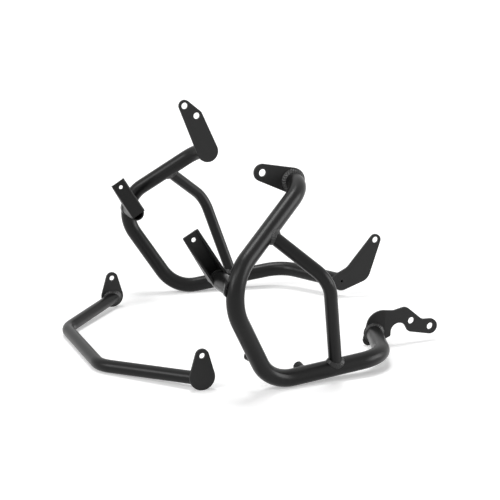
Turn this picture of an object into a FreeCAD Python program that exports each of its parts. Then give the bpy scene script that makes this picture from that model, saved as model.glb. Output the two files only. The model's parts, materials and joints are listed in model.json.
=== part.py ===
import FreeCAD, Part
import math
import os
import Sketcher

V = FreeCAD.Vector

# Driving dimensions, millimetres and degrees.
# Guard frame: x towards the rear wheel, y outwards from the middle plane, z up.
SIZES = [
    # tubes
    ("tube_od", 25.0),
    ("tube_wall", 2.5),
    ("tube_bend", 60.0),
    ("crown_bend", 56.0),
    ("brace_od", 19.0),
    ("brace_wall", 2.0),
    ("brace_bend", 45.0),
    ("bar_od", 19.0),
    ("bar_wall", 2.0),
    ("bar_bend", 45.0),
    # corners of the main hoop that both guards share
    ("knee_x", 1.4),
    ("knee_y", 320.9),
    ("knee_z", 161.4),
    ("heel_x", 85.0),
    ("heel_y", 271.2),
    ("heel_z", 8.0),
    ("left_toe_x", 270.5),
    ("right_toe_x", 281.0),
    ("toe_y", 253.7),
    ("toe_z", 22.0),
    # the upper run leaves the knee in this direction
    ("rise_x", 83.1),
    ("rise_y", -57.7),
    ("rise_z", 60.0),
    # length of the upper run from the knee corner to the top corner
    ("left_rise", 219.4),
    ("right_rise", 191.0),
    # brace: distance of its top end up the rise, its elbow, its foot along the bottom run
    ("brace_top_rise", 117.5),
    ("elbow_x", 160.0),
    ("elbow_y", 305.0),
    ("elbow_z", 155.4),
    ("brace_foot_run", 105.8),
    # plates
    ("plate_t", 5.0),
    ("left_upper_face", 177.2),
    ("right_upper_face", 194.0),
    ("left_lower_face", 140.0),
    ("right_lower_face", 145.0),
    ("upper_hole_d", 11.0),
    ("lower_hole_d", 11.0),
    ("left_lobe_extra", 6.3),
    ("right_lobe_extra", 5.7),
    # left upper plate: small end over its hole, measured from the hoop's top corner
    ("lu_eye_x", -46.11),
    ("lu_eye_z", 14.28),
    ("lu_eye_r", 12.8),
    # right upper plate: two ears over its holes; the lower one is placed along the line to the top one
    ("ru_low_along", 0.717),
    ("ru_low_aside", 10.6),
    ("ru_low_r", 10.2),
    ("ru_top_x", -34.84),
    ("ru_top_z", 80.47),
    ("ru_top_r", 10.0),
    # left lower plate: tube seat, then the fold and the outline circles measured from it
    ("ll_seat_x", 308.9),
    ("ll_seat_z", 18.5),
    ("ll_fold_x", 17.1),
    ("ll_fold_angle", 15.0),
    ("ll_toe_x", -8.9),
    ("ll_toe_z", -11.5),
    ("ll_toe_r", 8.0),
    ("ll_lip_x", 24.0),
    ("ll_lip_z", -4.0),
    ("ll_lip_r", 3.0),
    ("ll_arch_x", 40.6),
    ("ll_arch_z", 0.0),
    ("ll_arch_r", 13.5),
    ("ll_chin_x", 62.6),
    ("ll_chin_z", 5.5),
    ("ll_chin_r", 8.5),
    ("ll_end_x", 94.9),
    ("ll_end_z", 2.8),
    ("ll_end_r", 12.0),
    ("ll_dip_x", 86.1),
    ("ll_dip_z", 28.5),
    ("ll_dip_r", 13.5),
    ("ll_hump_x", 50.1),
    ("ll_hump_z", 26.0),
    ("ll_hump_r", 11.5),
    ("ll_sag_x", 31.1),
    ("ll_sag_z", 54.0),
    ("ll_sag_r", 20.0),
    ("ll_back_x", 15.1),
    ("ll_back_z", 8.5),
    ("ll_back_r", 27.0),
    ("ll_hole_x", 62.1),
    ("ll_hole_z", 14.9),
    # right lower plate: seat over the tube end, then elbow, tip and inner hollow measured from it
    ("rl_seat_x", 347.8),
    ("rl_seat_z", 12.5),
    ("rl_seat_r", 16.5),
    ("rl_bow_x", 33.2),
    ("rl_bow_z", 15.0),
    ("rl_bow_r", 22.0),
    ("rl_tip_x", 66.6),
    ("rl_tip_z", 64.7),
    ("rl_tip_r", 10.0),
    ("rl_hollow_x", -0.3),
    ("rl_hollow_z", 40.5),
    ("rl_hollow_r", 21.0),
    ("vent_d", 4.0),
    # channel bracket: inner face of its web from the middle plane, its tip from the middle of the
    # knee bend, its tilt and section
    ("web_half", 234.0),
    ("left_tip_x", -40.33),
    ("left_tip_z", 66.08),
    ("right_tip_x", -33.53),
    ("right_tip_z", 61.58),
    ("left_bracket_tilt", 60.0),
    ("right_bracket_tilt", 61.65),
    ("left_bracket_long", 72.5),
    ("right_bracket_long", 67.6),
    ("bracket_wide", 25.0),
    ("bracket_deep", 27.0),
    ("sheet_t", 3.0),
    ("bracket_tip_deep", 4.0),
    ("bracket_hole_d", 6.8),
    ("bracket_hole_s", 10.0),
    ("stub_past", 1.9),
    ("stub_gap", 17.0),
    # bosses on the left hoop
    ("boss_od", 14.0),
    ("boss_bore", 6.8),
    ("boss_reach", 24.0),
    ("boss_deep", 11.0),
    ("boss_upper_at", 0.757),
    ("boss_lower_at", 0.305),
    ("boss_lean", 15.0),
    # welds
    ("weld_leg", 4.0),
    ("weld_small", 3.0),
    ("weld_thin", 1.5),
    # cross bar in its own frame
    ("bar_front", 20.0),
    ("bar_reach", 111.5),
    ("bar_mid_half", 99.2),
    ("bar_lobe_r", 18.7),
    ("bar_seat_drop", 3.2),
    ("bar_eye_r", 10.0),
    ("bar_eye_up", 31.3),
    ("bar_hole_d", 8.5),
    # places on the floor
    ("centre_x", 160.7),
    ("left_lift", 1.79),
    ("right_pitch", 3.6),
    ("right_x", 31.8),
    ("right_z", -5.37),
    ("bar_x", -138.5),
    ("bar_y", -11.3),
    ("bar_yaw", 0.8),
]

doc = FreeCAD.newDocument("engine_guard")
sheet = doc.addObject("Spreadsheet::Sheet", "Sizes")
for row, (alias, number) in enumerate(SIZES, start=1):
    sheet.set("A%d" % row, alias)
    sheet.set("B%d" % row, str(number))
    sheet.setAlias("B%d" % row, alias)
doc.recompute()

LEFT = -1
RIGHT = 1
SIDE_NAME = {LEFT: "left", RIGHT: "right"}
# Side of a trimming block, depth of a cutting tool, how far a spine runs past the face it is trimmed on,
# how far a tool passes the piece it cuts, and how close two places are when they count as one.
BIG = 160.0
ROOM = 60.0
OVERRUN = 30.0
PAST = 1.0
NEAR = 0.01
nodes = []


def size(alias):
    return float(sheet.get(alias))


def unit(vector):
    return V(vector) / vector.Length


def point(name, side):
    return V(size(name + "_x"), side * size(name + "_y"), size(name + "_z"))


def keep(obj, label, group):
    obj.Label = label
    nodes.append((obj, label, group))
    return obj


# Start, middle and end of the arc that rounds a corner.
def bend_arc(before, corner, after, bend):
    back = unit(before - corner)
    ahead = unit(after - corner)
    half = (math.pi - back.getAngle(ahead)) / 2
    reach = bend * math.tan(half)
    middle = corner + unit(back + ahead) * bend * (1 / math.cos(half) - 1)
    return corner + back * reach, middle, corner + ahead * reach


# Straight runs joined by tangent arcs.
def spine(name, corners, bends):
    edges = []
    here = corners[0]
    for i, bend in enumerate(bends, start=1):
        enter, middle, leave = bend_arc(corners[i - 1], corners[i], corners[i + 1], bend)
        edges.append(Part.LineSegment(here, enter).toShape())
        edges.append(Part.Arc(enter, middle, leave).toShape())
        here = leave
    edges.append(Part.LineSegment(here, corners[-1]).toShape())
    path = doc.addObject("Part::Feature", name)
    path.Shape = Part.Wire(edges)
    path.addProperty("App::PropertyVector", "Start")
    path.addProperty("App::PropertyVector", "Heading")
    path.Start = corners[0]
    path.Heading = unit(corners[1] - corners[0])
    return path


# A solid round bar along a spine.
def rod(name, path, radius):
    ring = doc.addObject("Part::Circle", name + "_ring")
    ring.setExpression("Radius", radius)
    ring.Placement = FreeCAD.Placement(path.Start, FreeCAD.Rotation(V(0, 0, 1), path.Heading))
    body = doc.addObject("Part::Sweep", name)
    body.Sections = [ring]
    body.Spine = (path, ["Edge%d" % (i + 1) for i in range(len(path.Shape.Edges))])
    body.Solid = True
    body.Frenet = False
    return body


def round_bar(name, base, heading, radius, length):
    body = doc.addObject("Part::Cylinder", name)
    body.setExpression("Radius", radius)
    body.setExpression("Height", length)
    body.Placement = FreeCAD.Placement(base, FreeCAD.Rotation(V(0, 0, 1), heading))
    return body


# A square block standing on a plane and growing along its normal.
def block(name, origin, normal, depth):
    body = doc.addObject("Part::Box", name)
    body.Length = BIG
    body.Width = BIG
    body.setExpression("Height", depth)
    turn = FreeCAD.Rotation(V(0, 0, 1), normal)
    corner = origin - turn.multVec(V(BIG / 2, BIG / 2, 0))
    body.Placement = FreeCAD.Placement(corner, turn)
    return body


def cut(name, base, tools):
    result = base
    for i, tool in enumerate(tools):
        step = doc.addObject("Part::Cut", "%s_%d" % (name, i))
        step.Base = result
        step.Tool = tool
        result = step
    return result


def common(name, shapes):
    body = doc.addObject("Part::MultiCommon", name)
    body.Shapes = shapes
    return body


def pipe(name, path, od, wall):
    outer = rod(name + "_outer", path, "Sizes.%s / 2" % od)
    inner = rod(name + "_inner", path, "Sizes.%s / 2 - Sizes.%s" % (od, wall))
    return outer, cut(name + "_hollow", outer, [inner])


# A weld collar round a tube that lies inside a layer over the surface it is welded to.
def collar(name, base, heading, radius, layer, tools, length=str(ROOM)):
    sleeve = round_bar(name + "_sleeve", base, heading, radius, length)
    return cut(name, common(name + "_ring", [sleeve, layer]), tools)


# Sketch outline of arcs joined by tangent lines; turn is 1 for a bulge and -1 for a hollow.
def belt(sketch, circles):
    count = len(circles)
    centres = [V(c["x"], c["z"], 0) for c in circles]
    signed = [c["turn"] * c["r"] for c in circles]
    normal = []
    for i in range(count):
        j = (i + 1) % count
        gap = centres[j] - centres[i]
        normal.append(math.atan2(gap.y, gap.x) - math.acos((signed[i] - signed[j]) / gap.Length))
    arcs = []
    for i, circle in enumerate(circles):
        shape = Part.Circle(centres[i], V(0, 0, 1), circle["r"])
        start = normal[i - 1]
        end = normal[i]
        if circle["turn"] < 0:
            start = normal[i] + math.pi
            end = normal[i - 1] + math.pi
        while end < start:
            end += 2 * math.pi
        arcs.append(sketch.addGeometry(Part.ArcOfCircle(shape, start, end), False))
    lines = []
    for i in range(count):
        j = (i + 1) % count
        way = V(math.cos(normal[i]), math.sin(normal[i]), 0)
        line = Part.LineSegment(centres[i] + way * signed[i], centres[j] + way * signed[j])
        lines.append(sketch.addGeometry(line, False))
    for i, circle in enumerate(circles):
        enter = 1 if circle["turn"] > 0 else 2
        leave = 3 - enter
        sketch.addConstraint(Sketcher.Constraint("Tangent", lines[i - 1], 2, arcs[i], enter))
        sketch.addConstraint(Sketcher.Constraint("Tangent", lines[i], 1, arcs[i], leave))
        bind(sketch, arcs[i], circle)


def bind(sketch, index, circle):
    tag = circle["tag"]
    wanted = (
        ("x", Sketcher.Constraint("DistanceX", -1, 1, index, 3, circle["x"])),
        ("z", Sketcher.Constraint("DistanceY", -1, 1, index, 3, circle["z"])),
        ("r", Sketcher.Constraint("Radius", index, circle["r"])),
    )
    for key, constraint in wanted:
        place = sketch.addConstraint(constraint)
        sketch.renameConstraint(place, "%s_%s" % (tag, key))
        sketch.setExpression("Constraints.%s_%s" % (tag, key), circle["bound"][key])


# One outline circle; each of its three sizes is an expression on the sheet.
def disc(tag, x, z, r, turn=1):
    bound = {"x": x, "z": z, "r": r}
    found = {key: float(sheet.evalExpression(text)) for key, text in bound.items()}
    return {"tag": tag, "turn": turn, "bound": bound, **found}


def named_disc(name, turn=1, base=None):
    start = {key: "Sizes.%s_%s + " % (base, key) if base else "" for key in "xz"}
    return disc(name, start["x"] + "Sizes.%s_x" % name, start["z"] + "Sizes.%s_z" % name,
                "Sizes.%s_r" % name, turn)


# A round hole with the centre of an outline circle.
def hole_in(circle, diameter):
    bound = circle["bound"]
    return disc(circle["tag"] + "_hole", bound["x"], bound["z"], "Sizes.%s / 2" % diameter)


# A flat plate in the x-z plane, grown towards -y from the given y.
def plate(name, outline, holes, face):
    body = doc.addObject("PartDesign::Body", name)
    sketch = body.newObject("Sketcher::SketchObject", name + "_outline")
    upright = [f for f in body.Origin.OriginFeatures if f.Role == "XZ_Plane"][0]
    sketch.AttachmentSupport = (upright, [""])
    sketch.MapMode = "FlatFace"
    sketch.setExpression("AttachmentOffset.Base.z", face)
    doc.recompute()
    belt(sketch, outline)
    for hole in holes:
        ring = Part.Circle(V(hole["x"], hole["z"], 0), V(0, 0, 1), hole["r"])
        bind(sketch, sketch.addGeometry(ring, False), hole)
    pad = body.newObject("PartDesign::Pad", name + "_pad")
    pad.Profile = sketch
    pad.setExpression("Length", "Sizes.plate_t")
    body.Tip = pad
    return body


# Top corner of one hoop.
def crown_of(side):
    return point("knee", side) + unit(point("rise", side)) * size(SIDE_NAME[side] + "_rise")


# Corners of one hoop, from its upper plate to its lower plate.
def hoop_corners(side, foot):
    word = SIDE_NAME[side]
    knee = point("knee", side)
    crown = crown_of(side)
    inward = V(0, -side, 0)
    top = V(crown.x, side * size(word + "_upper_face"), crown.z)
    heel = point("heel", side)
    toe = V(size(word + "_toe_x"), side * size("toe_y"), size("toe_z"))
    onward = unit(foot - toe)
    return [top + inward * OVERRUN, crown, knee, heel, toe, foot + onward * OVERRUN]


def guard(side, foot, foot_face_normal, lower_plate, upper_plate):
    word = SIDE_NAME[side]
    corners = hoop_corners(side, foot)
    crown, knee, heel, toe = corners[1:5]
    bends = [size("crown_bend"), size("tube_bend"), size("tube_bend"), size("tube_bend")]
    path = spine(word + "_hoop_path", corners, bends)
    outer, hollow = pipe(word + "_hoop", path, "tube_od", "tube_wall")
    swollen = rod(word + "_hoop_layer", path, "Sizes.tube_od / 2 + Sizes.weld_leg")
    inward = V(0, -side, 0)
    seat = V(crown.x, side * size(word + "_upper_face"), crown.z)
    top_block = block(word + "_top_block", seat, inward, str(ROOM))
    foot_block = block(word + "_foot_block", foot, foot_face_normal, str(ROOM))
    hoop = cut(word + "_hoop_trim", hollow, [top_block, foot_block])
    keep(hoop, word + "_hoop_tube", word)
    keep(upper_plate, word + "_upper_plate", word)
    keep(lower_plate, word + "_lower_plate", word)

    # welds of the hoop to its plates
    top_layer = block(word + "_top_layer", seat, inward * -1, "Sizes.weld_leg")
    foot_layer = block(word + "_foot_layer", foot, foot_face_normal * -1, "Sizes.weld_leg")
    wide = "Sizes.tube_od / 2 + Sizes.weld_leg"
    half_room = ROOM / 2
    foot_way = unit(foot - toe)
    top_weld = collar(word + "_top_weld", seat - inward * half_room, inward, wide, top_layer, [outer])
    foot_weld = collar(word + "_foot_weld", foot - foot_way * half_room, foot_way, wide, foot_layer, [outer])
    keep(top_weld, word + "_weld_upper_plate", word)
    keep(foot_weld, word + "_weld_lower_plate", word)

    # brace with coped ends
    head = knee + unit(crown - knee) * size("brace_top_rise")
    elbow = point("elbow", side)
    tail = heel + unit(toe - heel) * size("brace_foot_run")
    brace_path = spine(word + "_brace_path", [head, elbow, tail], [size("brace_bend")])
    brace_outer, brace_hollow = pipe(word + "_brace", brace_path, "brace_od", "brace_wall")
    keep(cut(word + "_brace_cope", brace_hollow, [outer]), word + "_brace_tube", word)
    brace_wide = "Sizes.brace_od / 2 + Sizes.weld_leg"
    for end, start in (("top", head), ("foot", tail)):
        name = "%s_brace_%s_weld" % (word, end)
        ring = collar(name, start, unit(elbow - start), brace_wide, swollen, [outer, brace_outer])
        keep(ring, "%s_weld_brace_%s" % (word, end), word)

    bracket(side, bend_arc(crown, knee, heel, size("tube_bend"))[1], outer, swollen)
    return {"outer": outer, "layer": swollen, "knee": knee, "heel": heel, "toe": toe}


# Folded channel bracket with tapered flanges, and the stub tube that carries it out to the hoop's axis.
def bracket(side, hoop_axis, outer, swollen):
    word = SIDE_NAME[side]
    length = "Sizes.%s_bracket_long" % word
    tilt = math.radians(size(word + "_bracket_tilt"))
    down = V(math.cos(tilt), 0, -math.sin(tilt))
    out = V(0, side, 0)
    across = out.cross(down)
    turn = FreeCAD.Rotation(down, across, out, "XYZ")
    tip = V(hoop_axis.x + size(word + "_tip_x"), side * size("web_half"),
            hoop_axis.z + size(word + "_tip_z"))

    def local(s, a, h):
        return tip + turn.multVec(V(s, a, h))

    def box(name, corner, length, width, height):
        body = doc.addObject("Part::Box", word + name)
        body.setExpression("Length", length)
        body.setExpression("Width", width)
        body.setExpression("Height", height)
        body.Placement = FreeCAD.Placement(local(*corner), turn)
        return body

    wide = size("bracket_wide")
    sheet_t = size("sheet_t")
    long = size(word + "_bracket_long")
    whole = box("_channel", (0, -wide / 2, 0), length, "Sizes.bracket_wide", "Sizes.bracket_deep")
    room = box("_channel_room", (-PAST, sheet_t - wide / 2, sheet_t), "%s + %s" % (length, 2 * PAST),
               "Sizes.bracket_wide - 2 * Sizes.sheet_t", "Sizes.bracket_deep")
    slope = math.atan2(size("bracket_deep") - size("bracket_tip_deep"), long)
    taper = block(word + "_channel_taper", local(0, 0, size("bracket_tip_deep")),
                  turn.multVec(V(-math.sin(slope), 0, math.cos(slope))), str(ROOM))
    stub_foot = local(long + size("stub_past"), 0, size("stub_gap"))
    reach = "%s - Sizes.web_half - Sizes.stub_gap" % abs(hoop_axis.y)
    stub_outer = round_bar(word + "_stub_outer", stub_foot, out, "Sizes.tube_od / 2", reach)
    stub_bore = round_bar(word + "_stub_bore", stub_foot, out, "Sizes.tube_od / 2 - Sizes.tube_wall", reach)
    hole = round_bar(word + "_bracket_hole", local(size("bracket_hole_s"), 0, -sheet_t), out,
                     "Sizes.bracket_hole_d / 2", str(ROOM))
    folded = fold_edges(word + "_channel_fold", cut(word + "_channel_cut", whole, [room]), turn, tip, long)
    channel = cut(word + "_bracket", folded, [taper, hole, stub_outer])
    stub = cut(word + "_stub", stub_outer, [stub_bore, outer])
    keep(channel, word + "_channel_bracket", word)
    keep(stub, word + "_stub_tube", word)

    # weld of the stub to the hoop, and of the stub to the flanges
    stub_thin = "Sizes.tube_od / 2 + Sizes.weld_thin"
    stub_wide = "Sizes.tube_od / 2 + Sizes.weld_small"
    hoop_weld = collar(word + "_stub_weld", stub_foot, out, stub_thin, swollen, [outer, stub_outer], reach)
    keep(hoop_weld, word + "_weld_stub", word)
    pocket = box("_flange_layer", (long / 2, sheet_t - wide / 2, size("stub_gap")), length + " / 2",
                 "Sizes.bracket_wide - 2 * Sizes.sheet_t", "Sizes.weld_small")
    flange_weld = collar(word + "_flange_weld", stub_foot - out * (ROOM / 2), out, stub_wide, pocket,
                         [stub_outer])
    keep(flange_weld, word + "_weld_bracket", word)


# Round the two long outer edges of the folded sheet.
def fold_edges(name, channel, turn, tip, long):
    doc.recompute()
    chosen = []
    for number, edge in enumerate(channel.Shape.Edges, start=1):
        ends = [turn.inverted().multVec(v.Point - tip) for v in edge.Vertexes]
        flat = all(abs(p.z) < NEAR for p in ends)
        outside = all(abs(abs(p.y) - size("bracket_wide") / 2) < NEAR for p in ends)
        if flat and outside and edge.Length > long / 2:
            chosen.append((number, size("sheet_t"), size("sheet_t")))
    body = doc.addObject("Part::Fillet", name)
    body.Base = channel
    body.Edges = chosen
    return body


# A boss with a tapped bore, standing on the hoop.
def boss(label, base, heading, held):
    outside = round_bar(label + "_outer", base, heading, "Sizes.boss_od / 2", "Sizes.boss_reach")
    mouth = base + heading * (size("boss_reach") - size("boss_deep"))
    bore = round_bar(label + "_bore", mouth, heading, "Sizes.boss_bore / 2", "Sizes.boss_deep + %s" % PAST)
    keep(cut(label + "_body", outside, [held["outer"], bore]), label, "left")
    wide = "Sizes.boss_od / 2 + Sizes.weld_small"
    ring = collar(label + "_bead", base, heading, wide, held["layer"], [held["outer"], outside])
    keep(ring, label.replace("left_", "left_weld_"), "left")


def left_guard():
    lobe = "Sizes.tube_od / 2 + Sizes.left_lobe_extra"
    crown = crown_of(LEFT)
    eye = disc("eye", "%s + Sizes.lu_eye_x" % crown.x, "%s + Sizes.lu_eye_z" % crown.z, "Sizes.lu_eye_r")
    upper = plate("left_upper", [disc("lobe", str(crown.x), str(crown.z), lobe), eye],
                  [hole_in(eye, "upper_hole_d")], "Sizes.left_upper_face - Sizes.plate_t")
    names = (("ll_toe", 1), ("ll_lip", 1), ("ll_arch", -1), ("ll_chin", 1), ("ll_end", 1),
             ("ll_dip", -1), ("ll_hump", 1), ("ll_sag", -1), ("ll_back", 1))
    outline = [named_disc(name, turn, "ll_seat") for name, turn in names]
    holes = [disc("hole", "Sizes.ll_seat_x + Sizes.ll_hole_x", "Sizes.ll_seat_z + Sizes.ll_hole_z",
                  "Sizes.lower_hole_d / 2"),
             hole_in(named_disc("ll_end", 1, "ll_seat"), "lower_hole_d")]
    face = "Sizes.left_lower_face - Sizes.plate_t"
    strip = plate("left_strip", outline, holes, face)
    flap = plate("left_flap", outline, holes, face)

    # fold: the flap turns about the edge on the outer face and both are mitred on the bisector
    edge = V(size("ll_seat_x") + size("ll_fold_x"), -size("left_lower_face"), 0)
    angle = size("ll_fold_angle")
    turn = FreeCAD.Rotation(V(0, 0, 1), -angle)
    flap.Placement = FreeCAD.Placement(edge - turn.multVec(edge), turn)
    half = FreeCAD.Rotation(V(0, 0, 1), -angle / 2)
    ahead = half.multVec(V(1, 0, 0))
    strip_side = common("left_strip_side", [strip, block("left_strip_block", edge, ahead, str(BIG))])
    flap_side = common("left_flap_side", [flap, block("left_flap_block", edge, ahead * -1, str(BIG))])
    lower = doc.addObject("Part::MultiFuse", "left_lower")
    lower.Shapes = [strip_side, flap_side]
    lower.Refine = True
    seat = V(size("ll_seat_x"), -size("left_lower_face"), size("ll_seat_z"))
    foot = edge + turn.multVec(seat - edge)
    held = guard(LEFT, foot, turn.multVec(V(0, 1, 0)), lower, upper)

    # bosses stand off the hoop's plane, on its inner side
    down = unit(held["heel"] - held["knee"])
    along = unit(held["toe"] - held["heel"])
    normal = unit(along.cross(down))
    if normal.y < 0:
        normal = normal * -1
    upper_at = held["knee"] + (held["heel"] - held["knee"]) * size("boss_upper_at")
    lower_at = held["heel"] + (held["toe"] - held["heel"]) * size("boss_lower_at")
    lean = FreeCAD.Rotation(down, -size("boss_lean")).multVec(normal)
    boss("left_boss_upper", upper_at, lean, held)
    boss("left_boss_lower", lower_at, normal, held)


def right_guard():
    lobe = "Sizes.tube_od / 2 + Sizes.right_lobe_extra"
    crown = crown_of(RIGHT)
    top = disc("top", "%s + Sizes.ru_top_x" % crown.x, "%s + Sizes.ru_top_z" % crown.z, "Sizes.ru_top_r")
    aside = "Sizes.ru_low_aside / hypot(Sizes.ru_top_x; Sizes.ru_top_z)"
    low = disc("low", "%s + Sizes.ru_low_along * Sizes.ru_top_x + %s * Sizes.ru_top_z" % (crown.x, aside),
               "%s + Sizes.ru_low_along * Sizes.ru_top_z - %s * Sizes.ru_top_x" % (crown.z, aside),
               "Sizes.ru_low_r")
    upper = plate("right_upper", [disc("lobe", str(crown.x), str(crown.z), lobe), low, top],
                  [hole_in(low, "upper_hole_d"), hole_in(top, "upper_hole_d")], "-Sizes.right_upper_face")
    seat = named_disc("rl_seat")
    tip = named_disc("rl_tip", 1, "rl_seat")
    outline = [seat, named_disc("rl_bow", 1, "rl_seat"), tip, named_disc("rl_hollow", -1, "rl_seat")]
    holes = [hole_in(tip, "lower_hole_d"), hole_in(seat, "vent_d")]
    lower = plate("right_lower", outline, holes, "-Sizes.right_lower_face")
    foot = V(size("rl_seat_x"), size("right_lower_face"), size("rl_seat_z"))
    guard(RIGHT, foot, V(0, -1, 0), lower, upper)


def cross_bar():
    half = size("web_half")
    face = half - size("plate_t")
    front = size("bar_front")
    end_x = front + size("bar_reach")
    low = size("bar_od") / 2
    end_z = size("bar_lobe_r") - size("bar_seat_drop")
    corner = [V(front, side * size("bar_mid_half"), low) for side in (LEFT, RIGHT)]
    seat = [V(end_x, side * face, end_z) for side in (LEFT, RIGHT)]
    tail = [seat[i] + unit(seat[i] - corner[i]) * OVERRUN for i in (0, 1)]
    path = spine("bar_path", [tail[0], corner[0], corner[1], tail[1]], [size("bar_bend")] * 2)
    outer, hollow = pipe("bar", path, "bar_od", "bar_wall")
    wide = "Sizes.bar_od / 2 + Sizes.weld_leg"
    trims = []
    for i, side in enumerate((LEFT, RIGHT)):
        word = SIDE_NAME[side]
        outward = V(0, side, 0)
        trims.append(block("bar_block_" + word, seat[i], outward, str(ROOM)))
        outline = [disc("lobe", "Sizes.bar_front + Sizes.bar_reach", "Sizes.bar_lobe_r", "Sizes.bar_lobe_r"),
                   disc("eye", "Sizes.bar_front + Sizes.bar_reach", "Sizes.bar_lobe_r + Sizes.bar_eye_up",
                        "Sizes.bar_eye_r")]
        holes = [hole_in(outline[1], "bar_hole_d")]
        faces = {LEFT: "Sizes.web_half - Sizes.plate_t", RIGHT: "-Sizes.web_half"}
        keep(plate("bar_plate_body_" + word, outline, holes, faces[side]), "bar_plate_" + word, "bar")
        layer = block("bar_layer_" + word, seat[i], outward * -1, "Sizes.weld_leg")
        way = unit(seat[i] - corner[i])
        ring = collar("bar_ring_" + word, seat[i] - way * (ROOM / 2), way, wide, layer, [outer])
        keep(ring, "bar_weld_" + word, "bar")
    keep(cut("bar_trim", hollow, trims), "bar_tube", "bar")


left_guard()
right_guard()
cross_bar()
doc.recompute()

# Stand the three pieces on the floor as they lie in the picture.
shift = V(-size("centre_x"), 0, 0)
flat = FreeCAD.Rotation()
pitch = FreeCAD.Rotation(V(0, 1, 0), -size("right_pitch"))
yaw = FreeCAD.Rotation(V(0, 0, 1), size("bar_yaw"))
PLACES = {
    "left": FreeCAD.Placement(shift + V(0, 0, size("left_lift")), flat),
    "right": FreeCAD.Placement(shift + V(size("right_x"), 0, size("right_z")), pitch),
    "bar": FreeCAD.Placement(shift + V(size("bar_x"), size("bar_y"), 0), yaw),
}
for obj, label, group in nodes:
    obj.Placement = PLACES[group].multiply(obj.Placement)
doc.recompute()

for obj in doc.Objects:
    if "Invalid" in obj.State or "Error" in obj.State:
        raise RuntimeError("broken feature " + obj.Name)
os.makedirs("parts", exist_ok=True)
for old in os.listdir("parts"):
    os.remove(os.path.join("parts", old))
whole = FreeCAD.BoundBox()
for obj, label, group in nodes:
    shape = obj.Shape
    if shape.isNull() or not shape.isValid():
        raise RuntimeError("bad shape " + label)
    box = shape.BoundBox
    whole.add(box)
    print("%-26s solids %d volume %9.1f z %7.2f..%7.2f" % (label, len(shape.Solids), shape.Volume,
                                                         box.ZMin, box.ZMax))
    shape.exportStep(os.path.join("parts", label + ".step"))
print("box x %.2f..%.2f y %.2f..%.2f z %.2f..%.2f" % (whole.XMin, whole.XMax, whole.YMin, whole.YMax,
                                                       whole.ZMin, whole.ZMax))
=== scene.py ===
import json
import math

import bmesh
import bpy
import numpy as np
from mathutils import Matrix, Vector
from mathutils.bvhtree import BVHTree


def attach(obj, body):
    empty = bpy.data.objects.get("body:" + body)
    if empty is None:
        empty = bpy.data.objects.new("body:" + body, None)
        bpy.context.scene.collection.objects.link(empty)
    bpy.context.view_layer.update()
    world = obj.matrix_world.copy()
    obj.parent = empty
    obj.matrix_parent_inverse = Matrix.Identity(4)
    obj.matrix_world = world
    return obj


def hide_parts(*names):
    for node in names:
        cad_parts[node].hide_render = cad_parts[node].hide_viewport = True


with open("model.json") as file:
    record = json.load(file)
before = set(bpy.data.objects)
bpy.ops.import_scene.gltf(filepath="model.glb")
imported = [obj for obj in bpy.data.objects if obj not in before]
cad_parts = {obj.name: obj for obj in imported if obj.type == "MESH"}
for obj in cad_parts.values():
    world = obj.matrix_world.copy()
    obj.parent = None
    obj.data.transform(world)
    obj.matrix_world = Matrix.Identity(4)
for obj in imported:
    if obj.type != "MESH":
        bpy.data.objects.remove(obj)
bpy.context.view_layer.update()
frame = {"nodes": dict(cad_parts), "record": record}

MM = 0.001

# Camera of the photograph, in the row frame.
CAMERA_AT = (-0.7462, -2.0058, 0.6404)
CAMERA_PITCH = 13.32
CAMERA_YAW = -20.3
SENSOR = 36.0
LENS = 100.8

# Soft lights: name, turn from the camera's side towards its right, height and width in degrees, and strength.
LIGHTS = (
    ("key_low", -60.0, 28.0, 28.0, 1.2),
    ("key_high", -30.0, 50.0, 30.0, 0.6),
    ("fill", 85.0, 10.0, 40.0, 2.0),
    ("top", -160.0, 81.0, 24.0, 1.5),
)

# White studio: light of the sky, glow of the floor where it is seen, the floor's side in metres, its finish.
WHITE = "#ffffff"
SKY_STRENGTH = 0.1
FLOOR_GLOW = 0.33
FLOOR_SIDE = 60.0
PAPER_SHADE = "#f4f4f4"
PAPER_ROUGHNESS = 0.9

# Weld fillets: their legs, how far they bulge as a share of the leg, and the pitch, depth and lag of the
# ripples.
UPPER_LEG = 5.6 * MM
LOWER_LEG = 4.0 * MM
BRACE_LEG = 4.5 * MM
SMALL_LEG = 3.0 * MM
WELD_BULGE = -0.08
RIPPLE_PITCH = 3.6 * MM
COARSE_RIPPLE = 0.9 * MM
FINE_RIPPLE = 0.4 * MM
RIPPLE_LAG = 1.8 * MM

# How finely the fillets are drawn: rings in a ripple, points across the face, steps round a collar, and
# points along the side of a triangle of a collar.
RINGS_PER_RIPPLE = 6
FACE_POINTS = 9
ANGLE_STEPS = 48
SIDE_POINTS = 14

# How far from a weld its tube is looked at, and the least cosine between a face and the way it should face.
WELD_REACH = 30.0 * MM
OUTWARD = 0.7

# Rounded rims of the plates: their width and steps, the least angle of a rim, the least area of a flat face,
# the most that a flat face may turn, how close two corners are when they count as one, and the length of
# edges too short to round.
RIM_ROUND = 0.6 * MM
RIM_STEPS = 3
RIM_ANGLE = math.radians(50.0)
FLAT_AREA = 100.0 * MM * MM
FLAT_ANGLE = math.radians(0.5)
MERGE = 0.001 * MM
SHORT_EDGE = 0.25 * MM

# Powder coat: its IOR, the size and height of its orange peel and of its finer grain, and the size of its
# sheen patches. Such a coat has an IOR of about 1.5, and this is lowered to match the object's dull black.
# The peel is about as wide as a pixel of the render. The grain is finer and softens the highlights.
COAT_IOR = 1.3
WELD_IOR = 1.4
PEEL_SIZE = 1.6 * MM
PEEL_HEIGHT = 0.02 * MM
WELD_PEEL_HEIGHT = 0.25 * MM
GRAIN_SIZE = 0.4 * MM
GRAIN_HEIGHT = 0.01 * MM
PATCH_SIZE = 64.0 * MM


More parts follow.
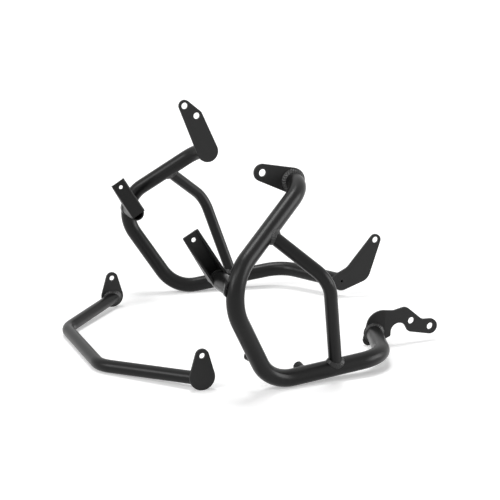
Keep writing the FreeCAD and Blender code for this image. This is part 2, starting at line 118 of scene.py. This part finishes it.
# Linear colour of an sRGB hex value.
def tone(code):
    values = [int(code[i:i + 2], 16) / 255 for i in (1, 3, 5)]
    linear = [v / 12.92 if v <= 0.04045 else ((v + 0.055) / 1.055) ** 2.4 for v in values]
    return (*linear, 1.0)


# Add a node, set its sockets and link other nodes to them.
def add_node(tree, kind, links=(), **values):
    node = tree.nodes.new(kind)
    for socket, value in values.items():
        node.inputs[socket.replace("_", " ")].default_value = value
    for socket, source in links:
        tree.links.new(source, node.inputs[socket])
    return node


# Polyester powder coat, sprayed and baked: a satin skin with a faint orange peel of the given height,
# whose sheen shifts a little from patch to patch, between a low and a high roughness.
def powder_coat(name, shade, low, high, height, ior=COAT_IOR):
    material = bpy.data.materials.new(name)
    material.use_nodes = True
    tree = material.node_tree
    shader = tree.nodes["Principled BSDF"]
    shader.inputs["Base Color"].default_value = tone(shade)
    shader.inputs["IOR"].default_value = ior
    place = [("Vector", add_node(tree, "ShaderNodeTexCoord").outputs["Object"])]
    peel = add_node(tree, "ShaderNodeTexNoise", place, Scale=1 / PEEL_SIZE, Detail=2.0)
    grain = add_node(tree, "ShaderNodeTexNoise", place, Scale=1 / GRAIN_SIZE, Detail=1.0)
    patch = add_node(tree, "ShaderNodeTexNoise", place, Scale=1 / PATCH_SIZE, Detail=3.0)
    sheen = add_node(tree, "ShaderNodeMapRange", [("Value", patch.outputs["Fac"])], To_Min=low, To_Max=high)
    coarse = add_node(tree, "ShaderNodeBump", [("Height", peel.outputs["Fac"])], Distance=height)
    fine = add_node(tree, "ShaderNodeBump", [("Height", grain.outputs["Fac"]),
                                             ("Normal", coarse.outputs["Normal"])], Distance=GRAIN_HEIGHT)
    tree.links.new(sheen.outputs["Result"], shader.inputs["Roughness"])
    tree.links.new(fine.outputs["Normal"], shader.inputs["Normal"])
    return material


# Give a piece one material.
def paint(obj, material):
    obj.data.materials.clear()
    obj.data.materials.append(material)


# Points spread over the faces of a mesh, with the area that each stands for.
def surface_points(mesh):
    mesh.calc_loop_triangles()
    corners = np.array([[mesh.vertices[i].co for i in t.vertices] for t in mesh.loop_triangles])
    areas = np.array([t.area for t in mesh.loop_triangles])
    points = []
    weights = []
    for i in range(SIDE_POINTS):
        for j in range(SIDE_POINTS - i):
            a = (i + 1 / 3) / SIDE_POINTS
            b = (j + 1 / 3) / SIDE_POINTS
            points.append(corners[:, 0] * (1 - a - b) + corners[:, 1] * a + corners[:, 2] * b)
            weights.append(areas)
    return np.vstack(points), np.concatenate(weights)


# Middle line of a weld collar, round a closed loop.
def collar_line(mesh):
    points, weights = surface_points(mesh)
    middle = np.average(points, axis=0, weights=weights)
    offset = points - middle
    axes = np.linalg.eigh((offset * weights[:, None]).T @ offset)[1]
    angle = np.arctan2(offset @ axes[:, 1], offset @ axes[:, 2])
    bins = ((angle + math.pi) / (2 * math.pi) * ANGLE_STEPS).astype(int) % ANGLE_STEPS
    line = []
    for step in range(ANGLE_STEPS):
        here = bins == step
        line.append(np.average(points[here], axis=0, weights=weights[here]))
    line = np.array(line)
    return (np.roll(line, 1, axis=0) + 2 * line + np.roll(line, -1, axis=0)) / 4


# Points spaced evenly by length on a closed line.
def respace(line, count):
    closed = np.vstack([line, line[:1]])
    lengths = np.concatenate([[0], np.cumsum(np.linalg.norm(np.diff(closed, axis=0), axis=1))])
    wanted = np.linspace(0, lengths[-1], count, endpoint=False)
    return np.stack([np.interp(wanted, lengths, closed[:, k]) for k in range(3)], axis=1)


# Copy of a CAD node's mesh to work on.
def copy_of(name):
    solid = bmesh.new()
    solid.from_mesh(frame["nodes"][name].data)
    return solid


# Search tree of the surface that a weld lies on: a whole tube, or the flat face of a plate.
def skin_tree(name, line):
    solid = copy_of(name)
    tree = BVHTree.FromBMesh(solid)
    if "_plate" in name:
        facing = sum((tree.find_nearest(Vector(place))[1] for place in line), Vector()).normalized()
        flat = [[v.index for v in f.verts] for f in solid.faces if f.normal.dot(facing) > OUTWARD]
        tree = BVHTree.FromPolygons([v.co for v in solid.verts], flat)
    solid.free()
    return tree


# Search tree of the outer wall of a round piece near a weld. Its axis is the way that its faces point least.
def wall_tree(name, middle):
    solid = copy_of(name)
    near = [f for f in solid.faces if min((v.co - middle).length for v in f.verts) < WELD_REACH]
    spread = sum(np.outer(f.normal, f.normal) * f.calc_area() for f in near)
    axis = Vector(np.linalg.eigh(spread)[1][:, 0])
    wall = []
    for face in near:
        arm = face.calc_center_median() - middle
        arm -= axis * arm.dot(axis)
        if face.normal.dot(arm.normalized()) > OUTWARD:
            wall.append([v.index for v in face.verts])
    tree = BVHTree.FromPolygons([v.co for v in solid.verts], wall)
    solid.free()
    return tree


# The root and the two toes of a fillet, where the plane across it cuts its two surfaces.
def fillet_corner(centre, ahead, trees, leg):
    planes = [(ahead, centre)]
    for tree in trees:
        spot, normal = tree.find_nearest(centre)[:2]
        planes.append((normal, spot))
    rows = np.array([normal for normal, spot in planes])
    sides = np.array([normal.dot(spot) for normal, spot in planes])
    root = Vector(np.linalg.solve(rows, sides))
    one = planes[1][0]
    two = planes[2][0]
    toe_one = root + (two - one * two.dot(one)).normalized() * leg
    toe_two = root + (one - two * one.dot(two)).normalized() * leg
    return root, toe_one, toe_two


# Take the jumps between facets out of a closed row of places.
def smoothed(rows):
    window = range(-RINGS_PER_RIPPLE, RINGS_PER_RIPPLE + 1)
    return sum(np.roll(rows, k, axis=0) for k in window) / len(window)


# A new piece in place of a CAD node, on the one body and in the node's slot.
def add_piece(name, solid, node, slot):
    shape = bpy.data.meshes.new(name)
    solid.to_mesh(shape)
    solid.free()
    obj = bpy.data.objects.new(name, shape)
    bpy.context.scene.collection.objects.link(obj)
    paint(obj, MATERIALS[slot])
    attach(obj, "root")
    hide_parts(node)


# A point of a fillet's section: its root, and then its face from one toe to the other, with ripples whose
# middle runs ahead by the lag. The arch is nothing at the toes and one in the middle.
def fillet_point(corner, ahead, i, k, leg, depth, lag):
    root, toe_one, toe_two = [Vector(place) for place in corner]
    if k == 0:
        return root
    share = (k - 1) / (FACE_POINTS - 1)
    arch = 4 * share * (1 - share)
    ripple = abs(math.sin(math.pi * i / RINGS_PER_RIPPLE))
    out = ((toe_one + toe_two) / 2 - root).normalized()
    rise = arch * (WELD_BULGE * leg + depth * ripple)
    return toe_one.lerp(toe_two, share) + out * rise + ahead * arch * lag


# A rippled fillet between a round piece and the surface it stands on, in place of one weld collar. Ripples
# are crescents on a plate. Round a saddle on a tube they are straight, so that its tight corners don't fold.
def weld_fillet(node, child, parent, leg, depth=FINE_RIPPLE):
    line = collar_line(frame["nodes"][node].data)
    length = np.linalg.norm(line - np.roll(line, 1, axis=0), axis=1).sum()
    count = round(length / RIPPLE_PITCH) * RINGS_PER_RIPPLE
    line = respace(line, count)
    trees = (wall_tree(child, Vector(line.mean(axis=0))), skin_tree(parent, line))
    aheads = [Vector(line[(i + 1) % count] - line[i - 1]).normalized() for i in range(count)]
    corners = [fillet_corner(Vector(line[i]), aheads[i], trees, leg) for i in range(count)]
    corners = smoothed(np.array(corners))
    lag = 0.0 if parent.endswith("hoop_tube") else RIPPLE_LAG
    fillet = bmesh.new()
    around = FACE_POINTS + 1
    bmesh.ops.create_grid(fillet, x_segments=count, y_segments=around, size=0.5)
    for vert in fillet.verts:
        i = round((vert.co.x + 0.5) * count) % count
        k = round((vert.co.y + 0.5) * around) % around
        vert.co = fillet_point(corners[i], aheads[i], i, k, leg, depth, lag)
    bmesh.ops.remove_doubles(fillet, verts=fillet.verts, dist=MERGE)
    bmesh.ops.recalc_face_normals(fillet, faces=fillet.faces)
    for face in fillet.faces:
        face.smooth = True
    add_piece("fillet_" + node, fillet, node, "weld_coat")


# A plate with its rims rounded over, in place of the sharp one.
def rounded_plate(node):
    solid = copy_of(node)
    bmesh.ops.remove_doubles(solid, verts=solid.verts, dist=MERGE)
    bmesh.ops.dissolve_limit(solid, angle_limit=FLAT_ANGLE, verts=solid.verts, edges=solid.edges)
    bmesh.ops.remove_doubles(solid, verts=solid.verts, dist=SHORT_EDGE)
    flats = [f.normal.copy() for f in solid.faces if f.calc_area() > FLAT_AREA]
    rims = [e for e in solid.edges if e.is_manifold and e.calc_face_angle() > RIM_ANGLE]
    bmesh.ops.bevel(solid, geom=rims, offset=RIM_ROUND, offset_type="OFFSET", affect="EDGES",
                    segments=RIM_STEPS, profile=0.5, material=-1, clamp_overlap=False)
    for face in solid.faces:
        face.smooth = all(face.normal.dot(flat) < math.cos(FLAT_ANGLE) for flat in flats)
    add_piece("rounded_" + node, solid, node, "plate_coat")


# Level direction from the object, turned from the camera's side towards the camera's right.
def towards(turn):
    angle = math.radians(CAMERA_YAW + turn)
    return Vector((math.sin(angle), -math.cos(angle), 0))


# Turn a lamp to shine a given way.
def aim(obj, way):
    obj.rotation_euler = way.to_track_quat("-Z", "Y").to_euler()


# The camera that the photograph was taken with.
def add_camera():
    data = bpy.data.cameras.new("photo_camera")
    data.sensor_width = SENSOR
    data.lens = LENS
    camera = bpy.data.objects.new("photo_camera", data)
    camera.location = CAMERA_AT
    camera.rotation_euler = (math.radians(90 - CAMERA_PITCH), 0, math.radians(CAMERA_YAW))
    bpy.context.scene.collection.objects.link(camera)
    bpy.context.scene.camera = camera


# The soft lights, each as wide in the sky as its softbox looks from the object.
def add_lights():
    for name, turn, height, width, strength in LIGHTS:
        light = bpy.data.lights.new("soft_" + name, "SUN")
        light.energy = strength
        light.angle = math.radians(width)
        obj = bpy.data.objects.new("soft_" + name, light)
        up = math.radians(height)
        aim(obj, (towards(turn) * math.cos(up) + Vector((0, 0, math.sin(up)))) * -1)
        bpy.context.scene.collection.objects.link(obj)


# One for a ray from the camera or from a glossy or clear surface, and nothing for other rays.
def seen_directly(tree):
    path = add_node(tree, "ShaderNodeLightPath")
    total = path.outputs["Is Camera Ray"]
    for kind in ("Is Glossy Ray", "Is Transmission Ray"):
        either = add_node(tree, "ShaderNodeMath", [(0, total), (1, path.outputs[kind])])
        either.operation = "MAXIMUM"
        total = either.outputs["Value"]
    return total


# White studio: it is seen as plain white, and lights the object with its own strength.
def add_world():
    world = bpy.data.worlds.new("white_studio")
    world.use_nodes = True
    tree = world.node_tree
    sky = tree.nodes["Background"]
    sky.inputs["Color"].default_value = tone(WHITE)
    strength = add_node(tree, "ShaderNodeMapRange", [("Value", seen_directly(tree))],
                        To_Min=SKY_STRENGTH, To_Max=1.0)
    tree.links.new(strength.outputs["Result"], sky.inputs["Strength"])
    bpy.context.scene.world = world


# White paper floor, which glows a little where it is seen and keeps the shadows.
def add_floor():
    sheet = bmesh.new()
    bmesh.ops.create_grid(sheet, x_segments=1, y_segments=1, size=FLOOR_SIDE / 2)
    shape = bpy.data.meshes.new("studio_floor")
    sheet.to_mesh(shape)
    sheet.free()
    floor = bpy.data.objects.new("studio_floor", shape)
    bpy.context.scene.collection.objects.link(floor)
    material = bpy.data.materials.new("white_paper")
    material.use_nodes = True
    tree = material.node_tree
    shader = tree.nodes["Principled BSDF"]
    shader.inputs["Base Color"].default_value = tone(PAPER_SHADE)
    shader.inputs["Roughness"].default_value = PAPER_ROUGHNESS
    shader.inputs["Specular IOR Level"].default_value = 0.0
    shader.inputs["Emission Color"].default_value = tone(WHITE)
    glow = add_node(tree, "ShaderNodeMapRange", [("Value", seen_directly(tree))], To_Max=FLOOR_GLOW)
    tree.links.new(glow.outputs["Result"], shader.inputs["Emission Strength"])
    paint(floor, material)


# One black coat: smooth on the drawn tubes, duller on the flat plates, grainy over the welds. The plates,
# sheet brackets and welds get lighter shades of it than the tubes. On the plates and brackets this is painted
# light for the light that their flat faces catch, and on the welds it is painted glints for the light that
# their ripples catch.
MATERIALS = {
    "tube_coat": powder_coat("black_powder_coat_tube", "#0f0f0f", 0.28, 0.36, PEEL_HEIGHT),
    # Plates: painted light, a lighter shade than the tubes for the light on their flat faces.
    "plate_coat": powder_coat("black_powder_coat_plate_painted_light", "#262626", 0.44, 0.54, PEEL_HEIGHT),
    # Sheet brackets: painted light, a little lighter than the tubes for the light on their outer faces.
    "bracket_coat": powder_coat("black_powder_coat_sheet_painted_light", "#161616", 0.32, 0.42, PEEL_HEIGHT),
    "boss_coat": powder_coat("black_powder_coat_boss", "#0f0f0f", 0.34, 0.44, PEEL_HEIGHT),
    # Welds: painted glints, a lighter shade than the tubes for the light that their ripples catch.
    "weld_coat": powder_coat("black_powder_coat_weld_painted_glint", "#1e1e1e", 0.24, 0.36, WELD_PEEL_HEIGHT, WELD_IOR),
}
for part in frame["record"]["subparts"]:
    node = part["node"]
    slot = part["material_slot"]
    paint(frame["nodes"][node], MATERIALS[slot])
    if slot == "plate_coat":
        rounded_plate(node)

# Each weld lies between two pieces of its own guard or bar, with a leg and a depth of ripple.
GUARD_WELDS = {
    "weld_upper_plate": ("hoop_tube", "upper_plate", UPPER_LEG, COARSE_RIPPLE),
    "weld_lower_plate": ("hoop_tube", "lower_plate", LOWER_LEG, FINE_RIPPLE),
    "weld_brace_top": ("brace_tube", "hoop_tube", BRACE_LEG, FINE_RIPPLE),
    "weld_brace_foot": ("brace_tube", "hoop_tube", BRACE_LEG, FINE_RIPPLE),
}
for side in ("left", "right"):
    weld_fillet("bar_weld_" + side, "bar_tube", "bar_plate_" + side, BRACE_LEG)
    for weld, (child, parent, leg, depth) in GUARD_WELDS.items():
        weld_fillet(side + "_" + weld, side + "_" + child, side + "_" + parent, leg, depth)
for place in ("upper", "lower"):
    weld_fillet("left_weld_boss_" + place, "left_boss_" + place, "left_hoop_tube", SMALL_LEG)

add_camera()
add_lights()
add_world()
add_floor()
bpy.context.scene.view_settings.view_transform = "Standard"
